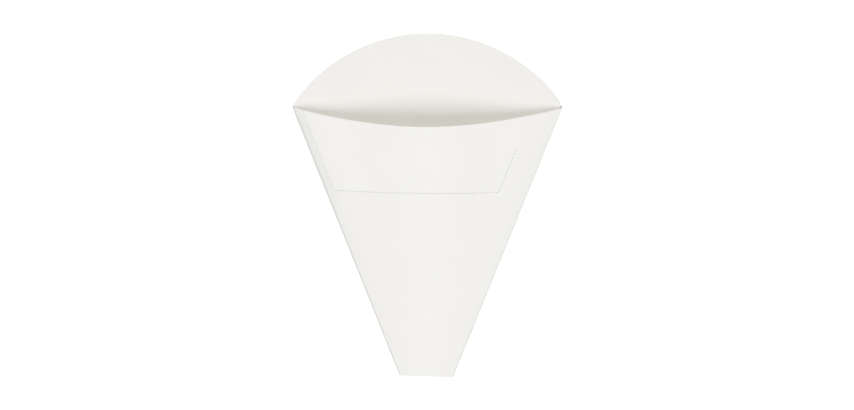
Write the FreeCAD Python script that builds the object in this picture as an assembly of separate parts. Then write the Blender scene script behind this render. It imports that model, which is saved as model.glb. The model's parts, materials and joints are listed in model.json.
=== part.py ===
import FreeCAD, Part
import math
import os

# A crepe cone folded from one die-cut sheet of board. The front panel folds over the back
# panel down the left side, and a glue flap on the back panel's right side folds in under
# the front panel. The front panel stops at a hollow lip, and the back panel goes on above
# it as a round dome. The pocket stands a little open, and its tip is cut off.
# The cone lies on its back: +X runs across the mouth, +Y from the tip to the dome, +Z up,
# and the origin is under the middle of the outline, on the surface it lies on.

# Sheet
board = 0.4              # thickness of the board
glue_film = 0.05         # glue between the flap and the front panel

# Outline, outside the folds
mouth_width = 176.0      # across the two mouth corners
tip_width = 35.0         # across the cut tip
body_length = 175.5      # mouth line, corner to corner, down to the cut tip
tip_skew = 0.8           # the tip is cut this much lower at its right end
dome_rise = 48.1         # top of the dome above the mouth line
lip_drop = 13.5          # middle of the front lip below the mouth line
corner_land = 0.6        # fold left standing between the lip and the dome at a corner

# How far the pocket stands open
front_bow = 13.0         # rise of the front panel above its two folds, at the mouth line
rest_width = 50.0        # flat strip down the middle of the back, at the mouth line

# Glue flap
flap_width = 15.0        # from the right fold to the flap's free edge, at the mouth line
flap_tip_width = 9.0     # the same at the cut tip
flap_bevel = 35.0        # slope of the flap's top end, in degrees
edge_setback = 0.8       # front panel's free edge, inside the right fold

# Tear line: slits through the front panel only, with two legs parallel to the folds
tear_left = 5.5          # left leg, from the left fold
tear_right = 17.8        # right leg, from the right fold and clear of the flap
tear_right_end = 27.5    # top of the right leg below the mouth line; the left one meets the lip
tear_depth = 56.3        # lowest point of the tear line below the mouth line
tear_low_x = 8.0         # where that lowest point is
tear_radius = 1070.0     # radius of the long arc between the legs
slit_length = 1.3
slit_width = 0.25
slit_pitch = 2.6

# Sizes that follow. The creases, carried on past the tip, would meet at the apex.
half_mouth = mouth_width / 2
half_tip = tip_width / 2
crease_mouth = half_mouth - board
taper = (half_mouth - half_tip) / body_length
cone_length = crease_mouth / taper
total_length = body_length + dome_rise
tip_y = -total_length / 2
mouth_y = tip_y + body_length
dome_y = mouth_y + dome_rise
apex_y = mouth_y - cone_length
trim = 2.0               # what is made past the cut lines and then cut off
side_x = half_mouth + trim

# Both panels are cut to one width. The back curls only beside its flat strip, so it rises
# less to its creases than the front bows above them.
front_radius = (crease_mouth ** 2 + front_bow ** 2) / (2 * front_bow)
curl_width = crease_mouth - rest_width / 2
curl_rise = front_bow * math.sqrt(curl_width / crease_mouth)
curl_radius = (curl_width ** 2 + curl_rise ** 2) / (2 * curl_rise)
curl_angle = math.asin(curl_width / curl_radius)


class Section:
    """Cross-section of the folded sheet at one distance along the cone.

    It grows in proportion from the apex, all but the board's thickness. Angles are measured
    from +Z towards +X.
    """

    def __init__(self, y):
        scale = (y - apex_y) / cone_length
        self.y = y
        self.flat_x = rest_width / 2 * scale
        self.curl = curl_radius * scale
        self.curl_z = board + self.curl
        self.crease_x = crease_mouth * scale
        self.crease_z = board + curl_rise * scale
        # The front's inner face runs from the left crease to one board above the right one,
        # which leaves the flap its place under the front.
        self.front = front_radius * scale
        self.front_x = board * (2 * self.front - board) / (4 * self.crease_x)
        reach = self.crease_x + self.front_x
        self.front_z = self.crease_z - math.sqrt(self.front ** 2 - reach ** 2)
        self.left_angle = -math.asin(reach / self.front)
        self.right_angle = math.asin((self.crease_x - self.front_x) / (self.front - board))

    def front_angle(self, inset):
        """Place on the front panel, this far in from the right crease."""
        return self.right_angle - inset / self.front

    def ring(self, arcs):
        """Closed wire of arcs (centre x, centre z, radius, from, to) joined by straight lines."""
        curves = []
        for centre_x, centre_z, radius, start, stop in arcs:
            points = []
            for angle in (start, (start + stop) / 2, stop):
                x = centre_x + radius * math.sin(angle)
                z = centre_z + radius * math.cos(angle)
                points.append(FreeCAD.Vector(x, self.y, z))
            curves.append(Part.Arc(*points))
        edges = []
        for curve, following in zip(curves, curves[1:] + curves[:1]):
            edges.append(curve.toShape())
            if curve.EndPoint.distanceToPoint(following.StartPoint) > board / 100:
                edges.append(Part.makeLine(curve.EndPoint, following.StartPoint))
        return Part.Wire(edges)

    def outside(self):
        """Outer face: back, right fold, flap, cut edge and front, left fold."""
        under = math.pi
        fold = under - curl_angle
        cut_edge = self.front_angle(edge_setback)
        return self.ring([
            (self.flat_x, self.curl_z, self.curl + board, under, fold),
            (self.crease_x, self.crease_z, board, fold, self.right_angle),
            (self.front_x, self.front_z, self.front, self.right_angle, cut_edge),
            (self.front_x, self.front_z, self.front + board, cut_edge, self.left_angle),
            (-self.crease_x, self.crease_z, board, self.left_angle, -fold),
            (-self.flat_x, self.curl_z, self.curl + board, -fold, -under),
        ])

    def pocket(self):
        """Inner face without the flap. Its right end slants up through the flap's place."""
        under = math.pi
        fold = under - curl_angle
        slant = self.front_angle(2 * edge_setback + board)
        return self.ring([
            (self.flat_x, self.curl_z, self.curl, under, fold),
            (self.front_x, self.front_z, self.front, slant, self.left_angle),
            (-self.flat_x, self.curl_z, self.curl, -fold, -under),
        ])

    def flap(self):
        """Flap, let half into the front panel above it and into the right fold."""
        narrowing = (flap_width - flap_tip_width) / body_length
        hinge = self.front_angle(-board / 2)
        free_edge = self.front_angle(flap_width - narrowing * (mouth_y - self.y))
        let_in = self.front_angle(2 * edge_setback)
        return self.ring([
            (self.front_x, self.front_z, self.front - board - glue_film, hinge, free_edge),
            (self.front_x, self.front_z, self.front + board / 2, free_edge, let_in),
        ])


first = Section(tip_y - trim)
last = Section(dome_y + trim)
height = last.front_z + last.front + trim


def loft(first_ring, last_ring):
    """Solid between two matching rings, flat where two straight edges share a plane."""
    faces = [Part.Face(first_ring), Part.Face(last_ring)]
    for near, far in zip(first_ring.Edges, last_ring.Edges):
        side = Part.makeRuledSurface(near, far)
        if side.findPlane():
            corners = [vertex.Point for vertex in side.OuterWire.OrderedVertexes]
            side = Part.Face(Part.makePolygon(corners + corners[:1]))
        faces.append(side)
    shell = Part.Shell(faces)
    shell.sewShape()
    return Part.Solid(shell)


def plan(x, y):
    return FreeCAD.Vector(x, y, 0)


def block_over(edges):
    """Upright block over a closed outline in plan."""
    return Part.Face(Part.Wire(edges)).extrude(FreeCAD.Vector(0, 0, height))


def lines_through(points):
    return Part.makePolygon(points).Edges


def fold_x(y):
    """Outside of the right fold. The left one is its mirror image."""
    return half_mouth - taper * (mouth_y - y)


def crease_z(y):
    """Height of the two creases, which run straight from one end section to the other."""
    share = (y - first.y) / (last.y - first.y)
    return first.crease_z + share * (last.crease_z - first.crease_z)


def die_cut():
    """Block that keeps what lies between the cut tip and the dome's edge."""
    corner_y = mouth_y + corner_land / 2
    slope = tip_skew / tip_width
    left = [
        plan(-half_mouth, corner_y),
        plan(-side_x, corner_y),
        plan(-side_x, tip_y + slope * (half_tip + side_x)),
    ]
    right = [
        plan(side_x, tip_y + slope * (half_tip - side_x)),
        plan(side_x, corner_y),
        plan(half_mouth, corner_y),
    ]
    dome = Part.Arc(right[-1], plan(0, dome_y), left[0]).toShape()
    return block_over([dome] + lines_through(left + right))


def beyond_lip():
    """Block that takes the front panel off beyond the lip and leaves the back panel."""
    corner_y = mouth_y - corner_land / 2
    left = [plan(-half_mouth, corner_y), plan(-side_x, corner_y), plan(-side_x, last.y)]
    right = [plan(side_x, last.y), plan(side_x, corner_y), plan(half_mouth, corner_y)]
    lip = Part.Arc(right[-1], plan(0, mouth_y - lip_drop), left[0]).toShape()
    # Its underside slopes with the creases, just above them.
    clear = board / 4
    wedge = Part.makePolygon([
        FreeCAD.Vector(-side_x, first.y, first.crease_z + clear),
        FreeCAD.Vector(-side_x, last.y, last.crease_z + clear),
        FreeCAD.Vector(-side_x, last.y, height),
        FreeCAD.Vector(-side_x, first.y, height),
        FreeCAD.Vector(-side_x, first.y, first.crease_z + clear),
    ])
    above_creases = Part.Face(wedge).extrude(FreeCAD.Vector(2 * side_x, 0, 0))
    return block_over([lip] + lines_through(left + right)).common(above_creases)


def glue_flap():
    """Flap with its top end bevelled away from the lip, so that the lip hides it."""
    slope = math.tan(math.radians(flap_bevel))
    top_y = mouth_y - corner_land
    outline = [
        plan(0, first.y),
        plan(side_x, first.y),
        plan(side_x, top_y + slope * trim),
        plan(0, top_y - slope * half_mouth),
        plan(0, first.y),
    ]
    return loft(first.flap(), last.flap()).common(block_over(lines_through(outline)))


def tear_line():
    """The tear line's two legs and the long arc between them, in plan."""
    low_y = mouth_y - tear_depth
    angle = math.atan(taper)

    def left_leg(y):
        return plan(-fold_x(y) + tear_left / math.cos(angle), y)

    def right_leg(y):
        return plan(fold_x(y) - tear_right / math.cos(angle), y)

    def sweep_y(x):
        return low_y + tear_radius - math.sqrt(tear_radius ** 2 - (x - tear_low_x) ** 2)

    lip_share = (left_leg(mouth_y).x / half_mouth) ** 2
    lip_y = mouth_y - lip_drop + (lip_drop - corner_land / 2) * lip_share
    left_corner = left_leg(sweep_y(left_leg(low_y).x))
    right_corner = right_leg(sweep_y(right_leg(low_y).x))
    return [
        Part.makeLine(left_corner, left_leg(lip_y)),
        Part.Arc(left_corner, plan(tear_low_x, low_y), right_corner).toShape(),
        Part.makeLine(right_corner, right_leg(mouth_y - tear_right_end)),
    ]


def slits_along(edge):
    """Cutters for one stretch of slits, with half a bridge of board at each end."""
    count = round(edge.Length / slit_pitch)
    cutters = []
    for index in range(count):
        place = edge.getParameterByLength(edge.Length * (index + 0.5) / count)
        centre = edge.valueAt(place)
        along = edge.tangentAt(place)
        corner = FreeCAD.Vector(-slit_length / 2, -slit_width / 2, crease_z(centre.y))
        cutter = Part.makeBox(slit_length, slit_width, height, corner)
        turn = math.degrees(math.atan2(along.y, along.x))
        cutter.rotate(FreeCAD.Vector(0, 0, 0), FreeCAD.Vector(0, 0, 1), turn)
        cutter.translate(centre)
        cutters.append(cutter)
    return cutters


def paper_cone():
    tube = loft(first.outside(), last.outside()).cut(loft(first.pocket(), last.pocket()))
    sheet = tube.fuse(glue_flap()).common(die_cut()).cut(beyond_lip())
    slits = []
    for edge in tear_line():
        slits += slits_along(edge)
    print("slits", len(slits))
    return sheet.cut(Part.makeCompound(slits))


cone = paper_cone()
os.makedirs("parts", exist_ok=True)
cone.exportStep("parts/paper_cone.step")
print("solids", len(cone.Solids), "valid", cone.isValid(), "volume", round(cone.Volume, 1))
print("area of the sheet", round(cone.Volume / board, 1))
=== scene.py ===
import bpy
import bmesh
import json
from math import asin, atan, atan2, cos, hypot, pi, radians, sin, sqrt, tan
from mathutils import Matrix, Vector

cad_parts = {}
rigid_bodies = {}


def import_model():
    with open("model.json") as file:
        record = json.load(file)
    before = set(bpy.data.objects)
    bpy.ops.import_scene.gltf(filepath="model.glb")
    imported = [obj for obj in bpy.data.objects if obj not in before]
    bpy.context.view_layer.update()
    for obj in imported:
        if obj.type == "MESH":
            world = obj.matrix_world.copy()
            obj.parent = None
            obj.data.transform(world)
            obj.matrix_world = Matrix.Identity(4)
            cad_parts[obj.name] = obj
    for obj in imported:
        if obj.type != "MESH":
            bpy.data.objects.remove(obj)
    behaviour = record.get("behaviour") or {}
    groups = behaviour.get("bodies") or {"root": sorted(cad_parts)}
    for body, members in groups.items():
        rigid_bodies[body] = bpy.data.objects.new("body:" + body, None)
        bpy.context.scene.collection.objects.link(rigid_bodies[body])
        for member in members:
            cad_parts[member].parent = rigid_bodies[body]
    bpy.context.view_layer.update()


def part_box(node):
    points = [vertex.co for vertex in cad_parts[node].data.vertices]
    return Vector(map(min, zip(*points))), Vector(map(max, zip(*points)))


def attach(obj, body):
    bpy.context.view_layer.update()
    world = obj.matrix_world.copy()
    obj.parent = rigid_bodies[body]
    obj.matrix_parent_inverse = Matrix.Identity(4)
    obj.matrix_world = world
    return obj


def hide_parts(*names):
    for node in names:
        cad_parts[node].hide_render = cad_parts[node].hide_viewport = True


# A white paper crepe cone, folded from one die-cut sheet of coated board. It lies on its
# back: +X runs across the mouth, +Y from the cut tip to the dome, +Z up.

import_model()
lowest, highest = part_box("paper_cone")
mm = 0.001
hair = 1e-7                      # points closer than this are one


def deselectAll():
    for other in bpy.context.view_layer.objects:
        other.select_set(False)


def makeActive(piece):
    deselectAll()
    piece.select_set(True)
    bpy.context.view_layer.objects.active = piece


def enterEdit(piece, mode="VERT"):
    makeActive(piece)
    bpy.ops.object.mode_set(mode="EDIT")
    bpy.ops.mesh.select_mode(type=mode)
    bpy.ops.mesh.select_all(action="DESELECT")


def leaveEdit():
    bpy.ops.object.mode_set(mode="OBJECT")


def pick(piece, kind, wanted):
    # selects the vertices, edges or faces that wanted(element) says yes to
    mesh = bmesh.from_edit_mesh(piece.data)
    for element in getattr(mesh, kind):
        element.select_set(False)
    for element in getattr(mesh, kind):
        if wanted(element):
            element.select_set(True)
    mesh.select_flush_mode()
    bmesh.update_edit_mesh(piece.data)


def applyModifier(piece, kind, **settings):
    makeActive(piece)
    modifier = piece.modifiers.new(kind.title(), kind)
    for name, value in settings.items():
        setattr(modifier, name, value)
    bpy.ops.object.modifier_apply(modifier=modifier.name)


def addSlots(piece):
    # an empty one for each of the sheet's four kinds of face
    for slot in range(4):
        piece.data.materials.append(None)


def smoothStep(value):
    value = min(1.0, max(0.0, value))
    return value * value * (3 - 2 * value)


# The folded sheet. Lengths are in metres.
cone = {
    "board": 0.40 * mm,          # thickness of the board
    "paper": 0.37 * mm,          # what each ply is given, so that a hair of air stays between two
    "halfMouth": 88.0 * mm,      # from the middle to each mouth corner
    "tipWidth": 35.0 * mm,
    "tipSkew": 1.2 * mm,         # the tip's right end is cut this much lower
    "tipRun": 0.45 * mm,         # how much longer the tip was cut
    "domeRise": 48.1 * mm,       # dome above the mouth line
    "lipDrop": 13.4 * mm,        # middle of the lip below the mouth line
    "lipPower": 1.88,            # under 2, it climbs to its corners a little faster than an arc
    "shoulder": 0.75 * mm,       # how much fuller the dome is cut near its right corner
    "lipSlack": 0.32 * mm,       # and how much lower the lip
    "shoulderStart": 58 * mm,    # right of the middle, where both begin
    "cornerLand": 0.6 * mm,      # fold left standing between lip and dome
    "frontBow": 13.0 * mm,       # how far the front stands up between its folds
    "flankSag": 1.8 * mm,        # how far it hangs back between the middle and a fold
    "sagLean": 0.25,             # the glued side hangs back this much more, the other less
    "sagOut": 1.25,              # over 1, it hangs lowest nearer its folds than half-way
    "mouthSag": 1.3 * mm,        # how much further it hangs back by the mouth
    "mouthSagOut": 0.85,         # under 1, that is lowest nearer the middle than half-way
    "mouthSagFull": 15 * mm,     # below the mouth line, where that is full
    "mouthSagEnd": 50 * mm,      # and where it ends
    "backLift": 1.8 * mm,        # how much straighter than an arc the back comes up at its sides
    "glueEase": 6.0 * mm,        # flattens the front where it is glued to the flap
    "gluePower": 8,              # over 1, that is kept to the strip beside the right fold
    "tipPress": 1.0 * mm,        # how much the front's arch is pressed flat at the tip
    "pressFade": 110 * mm,       # over which that eases out up the cone
    "restWidth": 50.0 * mm,      # flat strip down the middle of the back
    "flapWidth": 15.0 * mm,
    "flapTipWidth": 9.0 * mm,
    "flapBevel": radians(35),
    "edgeSetback": 0.8 * mm,     # front's free edge, inside the right fold
    "leftFold": 0.85 * mm,       # outer radius of the left fold, which nothing glues shut
    "foldShade": (0.3 * mm, 0.9 * mm),   # painted shade along the left fold: where it is strongest, and ends
    "shadeAtEdge": 0.45,          # share of it at the very edge of the fold
    "rightShade": (0.25, 0.25),   # share of it on the right fold, and what the tip adds
    "lean": 0.4 * mm,            # how far the tip stands to the left of the middle
    "tuck": 0.25 * mm,           # how far the left fold is drawn in
    "tuckFade": 8 * mm,          # over which that eases out above the mouth
    "blunt": 0.3 * mm,           # how far the left mouth corner is pushed in
    "bluntReach": 3 * mm,        # up and down the fold
    "trim": 2.0 * mm,            # drawn past each cut line, then cut off
    "rows": 60,                  # of faces from the tip to the top
    "edgeRound": 0.05 * mm,      # softening of the cut edges
    "smoothUnder": radians(32),  # a sharper turn than this shows as an edge
}
bends = {"flap": 6, "nose": 10, "curl": 26, "flat": 14, "front": 76}   # steps in each
cutFace, slitFace = 2, 3         # material slots; 0 is the outer face and 1 the inner

tipY, domeY = lowest.y, highest.y
mouthY = domeY - cone["domeRise"]
taper = (cone["halfMouth"] - cone["tipWidth"] / 2) / (mouthY - tipY)
creaseMouth = cone["halfMouth"] - cone["board"]
coneLength = creaseMouth / taper
apexY = mouthY - coneLength
frontRadius = (creaseMouth ** 2 + cone["frontBow"] ** 2) / (2 * cone["frontBow"])
curlWidth = creaseMouth - cone["restWidth"] / 2
curlRise = cone["frontBow"] * sqrt(curlWidth / creaseMouth)
curlRadius = (curlWidth ** 2 + curlRise ** 2) / (2 * curlRise)
curlAngle = asin(curlWidth / curlRadius)

# Numbers of the rulings where each ply starts and ends, from the flap round to the front
flapSpan = (0, bends["flap"])
backStart = flapSpan[1] + bends["nose"]
backSpan = (backStart, backStart + 2 * bends["curl"] + bends["flat"])
frontStart = backSpan[1] + bends["nose"]
frontSpan = (frontStart, frontStart + bends["front"])


def foldX(y):
    # outside of the right fold in plan; the left one mirrors it
    return cone["halfMouth"] - taper * (mouthY - y)


def creaseZ(y):
    return cone["board"] + curlRise * (y - apexY) / coneLength


def drawSection(y):
    # the sheet's outer face cut square across, drawn one bend after another
    board, leftFold = cone["board"], cone["leftFold"]
    scale = (y - apexY) / coneLength
    creaseX, flatX = creaseMouth * scale, cone["restWidth"] / 2 * scale
    radius, curl = frontRadius * scale, curlRadius * scale
    curlZ = board + curl
    # a round left fold needs both plies to run on further before they meet
    runOn = (leftFold - board) * (1 / sin((curlAngle + asin(creaseX / radius)) / 2) - 1)
    frontX = (board * (2 * radius - board) / (2 * creaseX + runOn) - runOn) / 2
    frontZ = creaseZ(y) - sqrt(radius ** 2 - (creaseX + runOn + frontX) ** 2)
    leftX, leftZ = roundCentre((-flatX - runOn, curlZ), curl + board - leftFold,
                               (frontX, frontZ), radius + board - leftFold)
    leftAngle = atan2(frontX - leftX, leftZ - frontZ)
    leftCurl = atan2(-flatX - runOn - leftX, curlZ - leftZ)
    rightAngle = asin((creaseX - frontX) / (radius - board))
    downTheCone = (mouthY - y) / (mouthY - tipY)
    flap = cone["flapWidth"] + (cone["flapTipWidth"] - cone["flapWidth"]) * downTheCone
    flapAngle = rightAngle - flap / radius
    edgeAngle = rightAngle - cone["edgeSetback"] / radius

    def bend(x, z, angle, steps):
        bpy.ops.mesh.spin(steps=steps, angle=-angle, center=(x, y, z), axis=(0, 1, 0))

    mesh = bmesh.from_edit_mesh(sheet.data)
    for vertex in mesh.verts:
        vertex.select_set(False)
    start = (frontX + radius * sin(flapAngle), y, frontZ + radius * cos(flapAngle))
    mesh.verts.new(start).select_set(True)
    bmesh.update_edit_mesh(sheet.data)
    bend(frontX, frontZ, rightAngle - flapAngle, bends["flap"])
    bend(creaseX, creaseZ(y), pi - curlAngle - rightAngle, bends["nose"])
    bend(flatX, curlZ, curlAngle, bends["curl"])
    for step in range(bends["flat"]):
        across = (-(2 * flatX + runOn) / bends["flat"], 0, 0)
        bpy.ops.mesh.extrude_region_move(TRANSFORM_OT_translate={"value": across})
    bend(-flatX - runOn, curlZ, leftCurl, bends["curl"])
    bend(leftX, leftZ, pi - leftCurl - leftAngle, bends["nose"])
    bend(frontX, frontZ, edgeAngle + leftAngle, bends["front"])


def roundCentre(first, firstReach, second, secondReach):
    # leftmost point at these two distances from two centres
    gapX, gapZ = second[0] - first[0], second[1] - first[1]
    gap = hypot(gapX, gapZ)
    along = (firstReach ** 2 - secondReach ** 2 + gap ** 2) / (2 * gap)
    aside = sqrt(firstReach ** 2 - along ** 2)
    x, z = first[0] + gapX * along / gap, first[1] + gapZ * along / gap
    return min((x - gapZ * aside / gap, z + gapX * aside / gap),
               (x + gapZ * aside / gap, z - gapX * aside / gap))


def findRulings():
    # (low vertex, high vertex) of each ruling, in order from the flap's free edge
    mesh = bmesh.new()
    mesh.from_mesh(sheet.data)
    high = [v for v in mesh.verts if v.co.y > mouthY]
    walk = [min((v for v in high if len(v.link_edges) == 2), key=lambda v: v.co.x)]
    while len(walk) < len(high):
        beside = [e.other_vert(walk[-1]) for e in walk[-1].link_edges]
        walk.append(next(v for v in beside if v in high and v not in walk))
    rulings = []
    for vertex in walk:
        far = [e.other_vert(vertex) for e in vertex.link_edges]
        rulings.append((next(v for v in far if v not in high).index, vertex.index))
    mesh.free()
    return rulings


domeCornerY = mouthY + cone["cornerLand"] / 2
lipCornerY = mouthY - cone["cornerLand"] / 2
domeRadius = (cone["halfMouth"] ** 2 + (domeY - domeCornerY) ** 2) / (2 * (domeY - domeCornerY))


def nearRightCorner(x):
    # 1 two thirds of the way from shoulderStart to the right corner, and 0 at both
    share = (x - cone["shoulderStart"]) / (cone["halfMouth"] - cone["shoulderStart"])
    share = min(1.0, max(0.0, share))
    return 27 / 4 * share ** 2 * (1 - share)


def domeOutline(x):
    if abs(x) >= cone["halfMouth"]:
        return domeCornerY
    arc = domeY - domeRadius + sqrt(domeRadius ** 2 - x ** 2)
    return arc + cone["shoulder"] * nearRightCorner(x)


def lipOutline(x):
    share = min(1.0, abs(x) / cone["halfMouth"])
    lowY = mouthY - cone["lipDrop"]
    climb = (lipCornerY - lowY) * share ** cone["lipPower"]
    return lowY + climb - cone["lipSlack"] * nearRightCorner(x)


def flapOutline(x):
    return mouthY - cone["cornerLand"] - tan(cone["flapBevel"]) * (cone["halfMouth"] - x)


def crossing(low, high, outline):
    # y where a ruling crosses an outline drawn in plan
    under, over = low.y, high.y
    for halving in range(50):    # ends far below a hair
        y = (under + over) / 2
        x = low.x + (high.x - low.x) * (y - low.y) / (high.y - low.y)
        under, over = (y, over) if y < outline(x) else (under, y)
    return under


def cutTip():
    slope = cone["tipSkew"] / cone["tipWidth"]
    enterEdit(sheet)
    bpy.ops.mesh.select_all(action="SELECT")
    bpy.ops.mesh.bisect(plane_co=(cone["tipWidth"] / 2, tipY - cone["tipRun"], 0),
                        plane_no=(slope, 1, 0), clear_inner=True, threshold=hair)
    leaveEdit()


def cutTops():
    # the top of every ruling slides down it to its own die line
    rulings = findRulings()
    spots = [v.co.copy() for v in sheet.data.vertices]
    tops = {}
    for span, outline in ((flapSpan, flapOutline), (backSpan, domeOutline),
                          (frontSpan, lipOutline)):
        for number in range(span[0], span[1] + 1):
            low, high = rulings[number]
            tops[number] = crossing(spots[low], spots[high], outline)
    for start, stop in ((flapSpan[1], backSpan[0]), (backSpan[1], frontSpan[0])):
        for number in range(start + 1, stop):
            share = (number - start) / (stop - start)
            tops[number] = tops[start] + (tops[stop] - tops[start]) * share
    enterEdit(sheet)
    for number, (low, high) in enumerate(rulings):
        ruling = spots[high] - spots[low]
        pick(sheet, "verts", lambda v: v.index == high)
        bpy.ops.transform.translate(value=ruling * ((tops[number] - spots[high].y) / ruling.y))
    leaveEdit()
    return rulings


def markPlies(rulings):
    # vertex groups that later stages pick from
    for name, span in (("flapPly", flapSpan), ("backPly", backSpan), ("frontPly", frontSpan)):
        group = sheet.vertex_groups.new(name=name)
        for number in range(span[0], span[1] + 1):
            group.add(list(rulings[number]), 1.0, "REPLACE")


def divideRulings(rulings):
    pairs = {frozenset(pair) for pair in rulings}
    enterEdit(sheet, "EDGE")
    pick(sheet, "edges", lambda e: frozenset((e.verts[0].index, e.verts[1].index)) in pairs)
    bpy.ops.mesh.subdivide(number_cuts=cone["rows"] - 1)
    leaveEdit()


def inGroup(mesh, piece, name):
    # vertices fully in a vertex group
    layer = mesh.verts.layers.deform.active
    number = piece.vertex_groups[name].index
    return {v for v in mesh.verts if v[layer].get(number, 0) > 0.99}


print("sheet: drawing the section at both ends")
bpy.ops.mesh.primitive_plane_add(size=mm)
sheet = bpy.context.object
sheet.name = sheet.data.name = "foldedSheet"
enterEdit(sheet)
bpy.ops.mesh.select_all(action="SELECT")
bpy.ops.mesh.delete(type="VERT")
drawSection(tipY - cone["trim"])
drawSection(domeY + cone["trim"])
bpy.ops.mesh.select_mode(type="EDGE")
bpy.ops.mesh.select_all(action="SELECT")
bpy.ops.mesh.bridge_edge_loops(type="SINGLE", use_merge=False)
bpy.ops.mesh.normals_make_consistent(inside=False)
leaveEdit()
restFace = min(sheet.data.polygons, key=lambda f: f.center.z)
if restFace.normal.z > 0:
    sheet.data.flip_normals()
print("sheet: die cutting")
cutTip()
rulings = cutTops()
markPlies(rulings)
divideRulings(rulings)

# Tear line: slits through the front only, in two legs and a long arc
tear = {
    "left": 5.5 * mm,            # left leg, inside the left fold
    "right": 17.8 * mm,          # right leg, inside the right fold
    "rightEnd": 27.5 * mm,       # top of the right leg below the mouth line
    "depth": 56.3 * mm,          # lowest point of the line below the mouth line
    "lowX": 8.0 * mm,            # where that is, right of the middle
    "radius": 1070 * mm,         # of the arc between the legs
    "arcSteps": 100,
    "slit": 1.3 * mm,            # length of one slit
    "width": 0.11 * mm,          # and its width
    "pressed": 0.045 * mm,       # edge that the perforating blade pressed in, each side
    "pressDepth": 0.08 * mm,
    "shut": 0.5,                 # the left leg's slits are this share as wide, held by the fold
    "pitch": 2.6 * mm,           # from the middle of one slit to the next
}
foldTilt = atan(taper)


def leftLeg(y):
    return Vector((-foldX(y) + tear["left"] / cos(foldTilt), y, 0))


def rightLeg(y):
    return Vector((foldX(y) - tear["right"] / cos(foldTilt), y, 0))


def tearArc(x):
    lowY = mouthY - tear["depth"]
    return lowY + tear["radius"] - sqrt(tear["radius"] ** 2 - (x - tear["lowX"]) ** 2)


def tearPath():
    # three stretches, each as many short straight pieces
    lowY = mouthY - tear["depth"]
    leftCorner = leftLeg(tearArc(leftLeg(lowY).x))
    rightCorner = rightLeg(tearArc(rightLeg(lowY).x))
    leftTop = leftLeg(lipOutline(leftLeg(mouthY).x))
    rightTop = rightLeg(mouthY - tear["rightEnd"])
    arc = []
    for step in range(tear["arcSteps"] + 1):
        x = leftCorner.x + (rightCorner.x - leftCorner.x) * step / tear["arcSteps"]
        arc.append(Vector((x, tearArc(x), 0)))
    return [[leftTop, leftCorner], arc, [rightCorner, rightTop]]


def slitPlaces():
    # (place, direction, share of full width) of each slit, half a bridge from a stretch's ends
    places = []
    for stretch, path in enumerate(tearPath()):
        lengths = [(b - a).length for a, b in zip(path, path[1:])]
        total = sum(lengths)
        count = round(total / tear["pitch"])
        for number in range(count):
            way, piece = total * (number + 0.5) / count, 0
            while way > lengths[piece]:
                way -= lengths[piece]
                piece += 1
            along = (path[piece + 1] - path[piece]).normalized()
            places.append((path[piece] + along * way, along, 1 if stretch else tear["shut"]))
    return places


def makeSlitCutter():
    # a blade's shape: straight below, flaring where it pressed the board's face in. The flare
    # is drawn twice as deep and as wide, because half of it stands above the face
    deep, flare = tear["pressDepth"], 2 * tear["pressed"]
    bpy.ops.mesh.primitive_cube_add(size=mm, location=(0, 0, -mm / 2 - deep))
    first = bpy.context.object
    enterEdit(first, "FACE")
    bpy.ops.mesh.select_all(action="SELECT")
    bpy.ops.transform.resize(value=(tear["slit"] / mm, tear["width"] / mm, 1))
    pick(first, "faces", lambda f: f.normal.z > 0.9)
    bpy.ops.mesh.extrude_region_move(TRANSFORM_OT_translate={"value": (0, 0, 2 * deep)})
    bpy.ops.transform.resize(value=(1 + 2 * flare / tear["slit"],
                                    1 + 2 * flare / tear["width"], 1))
    leaveEdit()
    bpy.ops.object.transform_apply(location=True)
    cutters = []
    for place, along, opened in slitPlaces():
        onTop, up = sheet.ray_cast(place + Vector((0, 0, 1)), (0, 0, -1))[1:3]
        ahead = (along - up * along.dot(up)).normalized()
        stand = Matrix((ahead, up.cross(ahead), up)).transposed().to_4x4()
        deselectAll()
        first.select_set(True)
        bpy.ops.object.duplicate(linked=False)
        cutter = bpy.context.selected_objects[0]
        cutter.data.transform(Matrix.Translation(onTop) @ stand
                              @ Matrix.Diagonal((1, opened, 1, 1)))
        cutters.append(cutter)
    bpy.data.objects.remove(first)
    deselectAll()
    for cutter in cutters:
        cutter.select_set(True)
    bpy.context.view_layer.objects.active = cutters[0]
    bpy.ops.object.join()
    addSlots(cutters[0])
    # the slit walls take the slot painted with the slits' shade
    for face in cutters[0].data.polygons:
        face.material_index = slitFace
    return cutters[0]


def sagFlanks():
    # buckled board stands up in a narrower arch than a circle, and lies flatter by its folds
    enterEdit(sheet)
    mesh = bmesh.from_edit_mesh(sheet.data)
    for vertex in inGroup(mesh, sheet, "frontPly") | inGroup(mesh, sheet, "flapPly"):
        scale = (vertex.co.y - apexY) / coneLength
        share = max(-1.0, min(1.0, vertex.co.x / (creaseMouth * scale)))
        pressed = smoothStep(1 - (vertex.co.y - tipY) / cone["pressFade"])
        sag = cone["flankSag"] * scale * (1 + cone["sagLean"] * share) * (1 - pressed)
        sag = sag * sin(pi * abs(share) ** cone["sagOut"]) ** 2
        sag += cone["tipPress"] * pressed * (1 - share ** 2)
        above = vertex.co.y - mouthY + cone["mouthSagEnd"]
        near = smoothStep(above / (cone["mouthSagEnd"] - cone["mouthSagFull"]))
        sag += cone["mouthSag"] * near * sin(pi * abs(share) ** cone["mouthSagOut"]) ** 2
        if share > 0:
            sag += cone["glueEase"] * scale * (1 - share) * share ** cone["gluePower"]
        vertex.co.z -= sag
    for vertex in inGroup(mesh, sheet, "backPly"):
        scale = (vertex.co.y - apexY) / coneLength
        share = (abs(vertex.co.x) / scale - cone["restWidth"] / 2) / curlWidth
        share = max(0.0, min(1.0, share))
        vertex.co.z += cone["backLift"] * scale * sin(pi * share ** cone["sagOut"]) ** 2
    bmesh.update_edit_mesh(sheet.data)
    leaveEdit()


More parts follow.
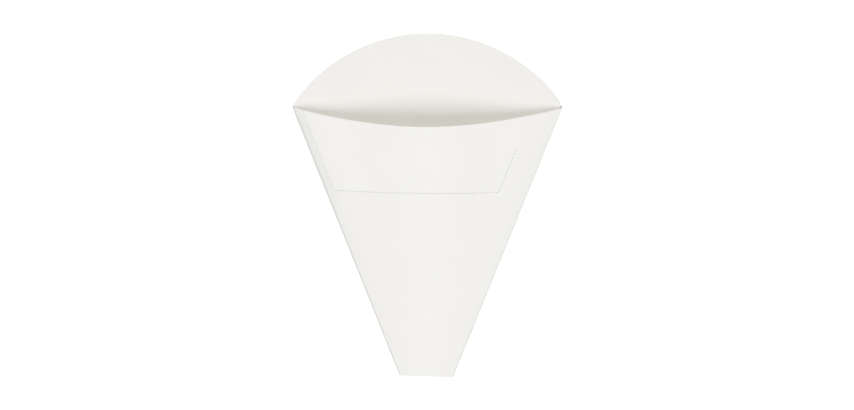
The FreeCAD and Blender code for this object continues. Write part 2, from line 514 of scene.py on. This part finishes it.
print("sheet: flanks and the hinge beside the left leg")
sagFlanks()
hinge = {
    "rise": 0.75 * mm,           # how much the strip outside the left leg tips up
    "power": 1.5,                # over 1, it tips more towards the leg than by the fold
    "line": 0.5 * mm,            # the crease is this wide on each side of the leg
    "settle": 26 * mm,           # width over which the panel comes back down
    "start": 9 * mm,             # below the mouth line, by where it has tipped up in full
    "fadeStart": 50 * mm,        # below the mouth line, where it starts to come back down
    "fadeEnd": 80 * mm,
}


def creaseLeftLeg():
    across = Vector((cos(foldTilt), sin(foldTilt), 0))
    for aside in (-hinge["line"], 0, hinge["line"]):
        enterEdit(sheet, "FACE")
        mesh = bmesh.from_edit_mesh(sheet.data)
        front = inGroup(mesh, sheet, "frontPly")
        pick(sheet, "faces", lambda f: all(v in front for v in f.verts))
        bpy.ops.mesh.bisect(plane_co=leftLeg(0) + across * aside, plane_no=across,
                            threshold=hair)
        leaveEdit()
    enterEdit(sheet)
    mesh = bmesh.from_edit_mesh(sheet.data)
    for vertex in inGroup(mesh, sheet, "frontPly"):
        distance = (vertex.co.x + foldX(vertex.co.y)) * cos(foldTilt)
        if distance < tear["left"]:
            lift = max(0.0, distance / tear["left"]) ** hinge["power"]
        else:
            lift = 1 - smoothStep((distance - tear["left"]) / hinge["settle"])
        below = mouthY - vertex.co.y
        lift *= smoothStep(below / hinge["start"])
        lift *= 1 - smoothStep((below - hinge["fadeStart"])
                               / (hinge["fadeEnd"] - hinge["fadeStart"]))
        vertex.co.z += hinge["rise"] * lift
    bmesh.update_edit_mesh(sheet.data)
    leaveEdit()


creaseLeftLeg()
sheet.vertex_groups.clear()      # the plies are picked no more
print("sheet: thickness and slits")
addSlots(sheet)
applyModifier(sheet, "SOLIDIFY", thickness=cone["paper"], offset=-1, use_even_offset=True,
              use_quality_normals=True, material_offset=1, material_offset_rim=2)
slitCutter = makeSlitCutter()
applyModifier(sheet, "BOOLEAN", operation="DIFFERENCE", object=slitCutter,
              solver="MANIFOLD")
bpy.data.objects.remove(slitCutter)


def softenCuts():
    # a hair of rounding along every die-cut edge, where the light catches it
    enterEdit(sheet, "EDGE")

    def isCut(edge):
        if len(edge.link_faces) != 2 or edge.calc_length() < cone["edgeRound"]:
            return False
        kinds = [f.material_index == cutFace for f in edge.link_faces]
        return kinds[0] != kinds[1]

    pick(sheet, "edges", isCut)
    bpy.ops.mesh.bevel(offset=cone["edgeRound"], segments=2, clamp_overlap=False)
    leaveEdit()


def foldByHand():
    # its axis isn't quite square to the mouth, its left fold is drawn in a little, and its
    # left corner is blunt
    for vertex in sheet.data.vertices:
        below = mouthY - vertex.co.y
        outward = vertex.co.x / foldX(vertex.co.y)
        eased = smoothStep(1 + below / cone["tuckFade"])
        blunt = cone["blunt"] * (1 - smoothStep(abs(below) / cone["bluntReach"]))
        vertex.co.x -= blunt * min(0.0, outward) ** 3
        vertex.co.x += cone["tuck"] * eased * min(0.0, outward) ** 2
        vertex.co.x -= cone["lean"] * below / (mouthY - tipY)


def paintFoldShade():
    # attribute "creased": 1 along the left fold, where painted shade darkens it, and less on the
    # right
    paintedFoldShade = sheet.data.attributes.new("paintedFoldShade", "FLOAT", "POINT")
    peak, end = cone["foldShade"]
    atEdge = cone["shadeAtEdge"]
    for vertex in sheet.data.vertices:
        x, y = vertex.co.x, vertex.co.y
        inward = (foldX(y) - abs(x)) * cos(foldTilt)
        shadeShare = 1 - smoothStep((inward - peak) / (end - peak))
        if x < 0:
            shadeShare *= atEdge + (1 - atEdge) * smoothStep(inward / peak)
        else:
            least, atTip = cone["rightShade"]
            shadeShare *= least + atTip * ((mouthY - y) / (mouthY - tipY)) ** 3
        paintedFoldShade.data[vertex.index].value = shadeShare


softenCuts()
paintFoldShade()
foldByHand()
makeActive(sheet)
bpy.ops.object.shade_smooth_by_angle(angle=cone["smoothUnder"])
applyModifier(sheet, "WEIGHTED_NORMAL", mode="FACE_AREA", keep_sharp=True)
print("sheet:", len(sheet.data.polygons), "faces")


# Materials
def addNode(tree, kind, **inputs):
    made = tree.nodes.new(kind)
    for name, value in inputs.items():
        made.inputs[name.replace("_", " ")].default_value = value
    return made


noiseSpan = (0.3, 0.7)           # nearly all of a noise texture's values lie between
paperGrain = {
    "cloudDetail": 4.0, "cloudRoughness": 0.55,
    "fibreDetail": 3.0, "fibreRoughness": 0.6,
    "fibreStretch": (1.0, 0.45, 1.0),        # under 1, they are drawn out along that axis
    "speckEdge": 0.03,           # distance from its middle where a speck fades out
    "speckCore": 0.01,           # and where it is full
    "speckRarity": 0.8,          # share of the places that have none
}


def makeFibreGroup():
    # what any bare or coated paper face shows: cloudy formation, fibres and a rare speck
    group = bpy.data.node_groups.new("paperFibres", "ShaderNodeTree")
    for name, kind, start in (("Vector", "NodeSocketVector", None),
                              ("Cloud Scale", "NodeSocketFloat", 40.0),
                              ("Fibre Scale", "NodeSocketFloat", 900.0),
                              ("Speck Scale", "NodeSocketFloat", 60.0)):
        socket = group.interface.new_socket(name, in_out="INPUT", socket_type=kind)
        if start is not None:
            socket.default_value = start
    for name in ("Cloud", "Fibre", "Speck"):
        group.interface.new_socket(name, in_out="OUTPUT", socket_type="NodeSocketFloat")
    given = group.nodes.new("NodeGroupInput")
    result = group.nodes.new("NodeGroupOutput")
    link = group.links.new

    cloud = addNode(group, "ShaderNodeTexNoise", Detail=paperGrain["cloudDetail"],
                    Roughness=paperGrain["cloudRoughness"])
    link(given.outputs["Vector"], cloud.inputs["Vector"])
    link(given.outputs["Cloud Scale"], cloud.inputs["Scale"])
    link(cloud.outputs["Fac"], result.inputs["Cloud"])

    grain = addNode(group, "ShaderNodeMapping", Scale=paperGrain["fibreStretch"])
    fibre = addNode(group, "ShaderNodeTexNoise", Detail=paperGrain["fibreDetail"],
                    Roughness=paperGrain["fibreRoughness"])
    link(given.outputs["Vector"], grain.inputs["Vector"])
    link(grain.outputs["Vector"], fibre.inputs["Vector"])
    link(given.outputs["Fibre Scale"], fibre.inputs["Scale"])
    link(fibre.outputs["Fac"], result.inputs["Fibre"])

    cells = group.nodes.new("ShaderNodeTexVoronoi")
    link(given.outputs["Vector"], cells.inputs["Vector"])
    link(given.outputs["Speck Scale"], cells.inputs["Scale"])
    near = addNode(group, "ShaderNodeMapRange", From_Min=paperGrain["speckEdge"],
                   From_Max=paperGrain["speckCore"])
    link(cells.outputs["Distance"], near.inputs["Value"])
    rare = addNode(group, "ShaderNodeMath")
    rare.operation = "GREATER_THAN"
    rare.inputs[1].default_value = paperGrain["speckRarity"]
    split = group.nodes.new("ShaderNodeSeparateColor")
    link(cells.outputs["Color"], split.inputs["Color"])
    link(split.outputs["Red"], rare.inputs[0])
    both = group.nodes.new("ShaderNodeMath")
    both.operation = "MULTIPLY"
    link(near.outputs["Result"], both.inputs[0])
    link(rare.outputs["Value"], both.inputs[1])
    link(both.outputs["Value"], result.inputs["Speck"])
    return group


def makeCornerShadeGroup():
    # 1 at the two mouth corners, where the folds end: the mask of a painted shade
    group = bpy.data.node_groups.new("mouthCornerShade", "ShaderNodeTree")
    for name, kind, start in (("Vector", "NodeSocketVector", None),
                              ("Corner", "NodeSocketVector", None),
                              ("Reach", "NodeSocketFloat", 1.0 * mm)):
        socket = group.interface.new_socket(name, in_out="INPUT", socket_type=kind)
        if start is not None:
            socket.default_value = start
    group.interface.new_socket("Shaded", in_out="OUTPUT", socket_type="NodeSocketFloat")
    given = group.nodes.new("NodeGroupInput")
    result = group.nodes.new("NodeGroupOutput")
    link = group.links.new
    mirrored = group.nodes.new("ShaderNodeVectorMath")
    mirrored.operation = "ABSOLUTE"
    link(given.outputs["Vector"], mirrored.inputs[0])
    away = group.nodes.new("ShaderNodeVectorMath")
    away.operation = "DISTANCE"
    link(mirrored.outputs["Vector"], away.inputs[0])
    link(given.outputs["Corner"], away.inputs[1])
    fade = addNode(group, "ShaderNodeMapRange", To_Min=1.0, To_Max=0.0)
    fade.interpolation_type = "SMOOTHSTEP"
    link(away.outputs["Value"], fade.inputs["Value"])
    link(given.outputs["Reach"], fade.inputs["From Max"])
    link(fade.outputs["Result"], result.inputs["Shaded"])
    return group


def mixColour(tree, amount, first, second):
    # colour between two, each a socket or a plain colour
    mix = tree.nodes.new("ShaderNodeMix")
    mix.data_type = "RGBA"
    for socket, value in ((mix.inputs[0], amount), (mix.inputs[6], first),
                          (mix.inputs[7], second)):
        if isinstance(value, bpy.types.NodeSocket):
            tree.links.new(value, socket)
        else:
            socket.default_value = value
    return mix.outputs[2]


def remap(tree, value, low, high):
    # spreads a noise texture's values from low to high
    change = addNode(tree, "ShaderNodeMapRange", From_Min=noiseSpan[0], From_Max=noiseSpan[1],
                     To_Min=low, To_Max=high)
    tree.links.new(value, change.inputs["Value"])
    return change.outputs["Result"]


def makePaper(name, look):
    made = bpy.data.materials.new(name)
    made.use_nodes = True
    tree = made.node_tree
    shader = tree.nodes["Principled BSDF"]
    place = tree.nodes.new("ShaderNodeTexCoord")
    fibres = tree.nodes.new("ShaderNodeGroup")
    fibres.node_tree = fibreGroup
    for socket in ("Cloud Scale", "Fibre Scale", "Speck Scale"):
        fibres.inputs[socket].default_value = look[socket]
    tree.links.new(place.outputs["Object"], fibres.inputs["Vector"])
    cloudy = mixColour(tree, remap(tree, fibres.outputs["Cloud"], 0, 1),
                       look["shade"], look["colour"])
    grained = mixColour(tree, remap(tree, fibres.outputs["Fibre"], 0, look["fibreTone"]),
                        cloudy, look["fibre"])
    shown = mixColour(tree, fibres.outputs["Speck"], grained, look["speck"])
    # inside the cone, below the mouth line, a warm tint painted for the shaded pocket
    if "deep" in look:
        along = tree.nodes.new("ShaderNodeSeparateXYZ")
        tree.links.new(place.outputs["Object"], along.inputs["Vector"])
        within = addNode(tree, "ShaderNodeMapRange", From_Min=look["deepStart"],
                         From_Max=look["deepEnd"])
        within.interpolation_type = "SMOOTHSTEP"
        tree.links.new(along.outputs["Y"], within.inputs["Value"])
        shown = mixColour(tree, within.outputs["Result"], shown, look["deep"])
    # painted shade at the mouth corners, a dark spot where the folds end
    corner = tree.nodes.new("ShaderNodeGroup")
    corner.node_tree = cornerShadeGroup
    corner.inputs["Corner"].default_value = paintedCorners["corner"]
    corner.inputs["Reach"].default_value = paintedCorners["reach"]
    tree.links.new(place.outputs["Object"], corner.inputs["Vector"])
    shown = mixColour(tree, corner.outputs["Shaded"], shown, paintedCorners["colour"])
    # painted shade along the folds, darker on the left
    if "paintedFoldShade" in look:
        fold = tree.nodes.new("ShaderNodeAttribute")
        fold.attribute_name = "paintedFoldShade"
        shown = mixColour(tree, fold.outputs["Fac"], shown, look["paintedFoldShade"])
    tree.links.new(shown, shader.inputs["Base Color"])
    tree.links.new(remap(tree, fibres.outputs["Fibre"], *look["roughness"]),
                   shader.inputs["Roughness"])
    bump = addNode(tree, "ShaderNodeBump", Strength=look["bump"], Distance=look["depth"])
    tree.links.new(fibres.outputs["Fibre"], bump.inputs["Height"])
    tree.links.new(bump.outputs["Normal"], shader.inputs["Normal"])
    return made


print("materials")
fibreGroup = makeFibreGroup()
cornerShadeGroup = makeCornerShadeGroup()
# painted shade: a dark spot at each mouth corner, where the folds end
paintedCorners = {
    # a little inside the right mouth corner; the left one mirrors it
    "corner": (cone["halfMouth"] - 1.1 * mm, mouthY - 0.4 * mm, creaseZ(mouthY)),
    "reach": 1.4 * mm,           # from there, to where the painted shade ends
    "colour": (0.42, 0.41, 0.38, 1),
}
coated = {
    "colour": (0.885, 0.876, 0.851, 1), "shade": (0.871, 0.862, 0.837, 1),
    "fibre": (0.897, 0.888, 0.865, 1), "fibreTone": 0.5, "speck": (0.80, 0.78, 0.73, 1),
    # creased: the colour of the painted shade along the folds
    "paintedFoldShade": (0.70, 0.695, 0.68, 1),
    "Cloud Scale": 45.0, "Fibre Scale": 900.0, "Speck Scale": 60.0,
    "roughness": (0.60, 0.70), "bump": 0.25, "depth": 0.02 * mm,
}
uncoated = {
    "colour": (0.880, 0.866, 0.836, 1), "shade": (0.862, 0.847, 0.813, 1),
    "fibre": (0.90, 0.893, 0.858, 1), "fibreTone": 0.6, "speck": (0.66, 0.60, 0.50, 1),
    "deep": (0.888, 0.862, 0.800, 1),        # painted warm shade inside the cone, where bounce light tints the pocket
    "deepStart": mouthY + 3 * mm, "deepEnd": mouthY - 8 * mm,
    "Cloud Scale": 60.0, "Fibre Scale": 700.0, "Speck Scale": 60.0,
    "roughness": (0.78, 0.90), "bump": 0.5, "depth": 0.03 * mm,
}
raw = {
    "colour": (0.90, 0.892, 0.858, 1), "shade": (0.87, 0.860, 0.82, 1),
    "fibre": (0.93, 0.925, 0.895, 1), "fibreTone": 0.8, "speck": (0.80, 0.76, 0.68, 1),
    "Cloud Scale": 300.0, "Fibre Scale": 2500.0, "Speck Scale": 90.0,
    "roughness": (0.85, 0.95), "bump": 0.7, "depth": 0.03 * mm,
}
# painted shade: the slit walls and their pressed-in rims are near black, for the shade inside the
# slits
pressed = dict(raw, colour=(0.22, 0.22, 0.21, 1), shade=(0.18, 0.18, 0.17, 1),
               fibre=(0.30, 0.30, 0.28, 1))
for slot, (name, look) in enumerate((("coatedFace", coated), ("uncoatedFace", uncoated),
                                     ("cutBoard", raw), ("paintedSlitShade", pressed))):
    sheet.data.materials[slot] = makePaper(name, look)

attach(sheet, "root")
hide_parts("paper_cone")


# Studio
studio = {
    "ambient": 0.155,            # light from all round
    "tipSoftbox": {"tilt": 29, "distance": 1.9, "size": 0.95, "watts": 16.2},
    "domeSoftbox": {"tilt": -26, "distance": 2.4, "size": 0.75, "watts": 29.8},
    "floorSize": 30,
    "floorColour": (0.82, 0.82, 0.82, 1),
    "floorGlow": 0.65,           # what the floor adds for the camera alone
}


def seenDirectly(tree):
    # 1 for camera, glossy and transmission rays
    path = tree.nodes.new("ShaderNodeLightPath")
    total = path.outputs["Is Camera Ray"]
    for name in ("Is Glossy Ray", "Is Transmission Ray"):
        most = tree.nodes.new("ShaderNodeMath")
        most.operation = "MAXIMUM"
        tree.links.new(total, most.inputs[0])
        tree.links.new(path.outputs[name], most.inputs[1])
        total = most.outputs[0]
    return total


def makeWorld():
    world = bpy.context.scene.world or bpy.data.worlds.new("studioAir")
    bpy.context.scene.world = world
    world.use_nodes = True
    tree = world.node_tree
    tree.nodes.clear()
    light = addNode(tree, "ShaderNodeBackground", Color=(1, 1, 1, 1), Strength=studio["ambient"])
    seen = addNode(tree, "ShaderNodeBackground", Color=(1, 1, 1, 1), Strength=1.0)
    mix = tree.nodes.new("ShaderNodeMixShader")
    out = tree.nodes.new("ShaderNodeOutputWorld")
    tree.links.new(seenDirectly(tree), mix.inputs[0])
    tree.links.new(light.outputs[0], mix.inputs[1])
    tree.links.new(seen.outputs[0], mix.inputs[2])
    tree.links.new(mix.outputs[0], out.inputs["Surface"])


def makeFloor():
    deselectAll()
    bpy.ops.mesh.primitive_plane_add(size=studio["floorSize"])
    floor = bpy.context.object
    floor.name = "studioFloor"
    made = bpy.data.materials.new("paleFloor")
    made.use_nodes = True
    tree = made.node_tree
    tree.nodes.clear()
    matt = addNode(tree, "ShaderNodeBsdfDiffuse", Color=studio["floorColour"])
    glow = addNode(tree, "ShaderNodeEmission", Color=(1, 1, 1, 1))
    dim = tree.nodes.new("ShaderNodeMath")
    dim.operation = "MULTIPLY"
    dim.inputs[1].default_value = studio["floorGlow"]
    both = tree.nodes.new("ShaderNodeAddShader")
    out = tree.nodes.new("ShaderNodeOutputMaterial")
    tree.links.new(seenDirectly(tree), dim.inputs[0])
    tree.links.new(dim.outputs[0], glow.inputs["Strength"])
    tree.links.new(matt.outputs[0], both.inputs[0])
    tree.links.new(glow.outputs[0], both.inputs[1])
    tree.links.new(both.outputs[0], out.inputs["Surface"])
    floor.data.materials.append(made)


def addSoftbox(name):
    box = studio[name]
    angle = radians(box["tilt"])         # from overhead, towards the tip
    away = Vector((0, -sin(angle), cos(angle))) * box["distance"]
    bpy.ops.object.light_add(type="AREA", location=away, rotation=(angle, 0, 0))
    lamp = bpy.context.object
    lamp.name = name
    lamp.data.shape = "SQUARE"
    lamp.data.size = box["size"]
    lamp.data.energy = box["watts"]
    lamp.visible_camera = False


print("studio")
makeWorld()
makeFloor()
addSoftbox("tipSoftbox")
addSoftbox("domeSoftbox")

# Camera: straight above, with a long lens
view = {
    "height": 3.0,
    "spread": 555.1 * mm,        # width seen at this height above the table
    "spreadAt": 4.0 * mm,
    "at": (-0.15 * mm, -0.10 * mm),
    "sensor": 36,                # its width in mm
    "farthest": 20,              # that it sees
}
deselectAll()
bpy.ops.object.camera_add(location=(view["at"][0], view["at"][1], view["height"]),
                          rotation=(0, 0, 0))
camera = bpy.context.object
camera.name = "overheadCamera"
camera.data.sensor_width = view["sensor"]
camera.data.lens = view["sensor"] * (view["height"] - view["spreadAt"]) / view["spread"]
camera.data.clip_end = view["farthest"]
bpy.context.scene.camera = camera
bpy.context.scene.view_settings.view_transform = "Standard"
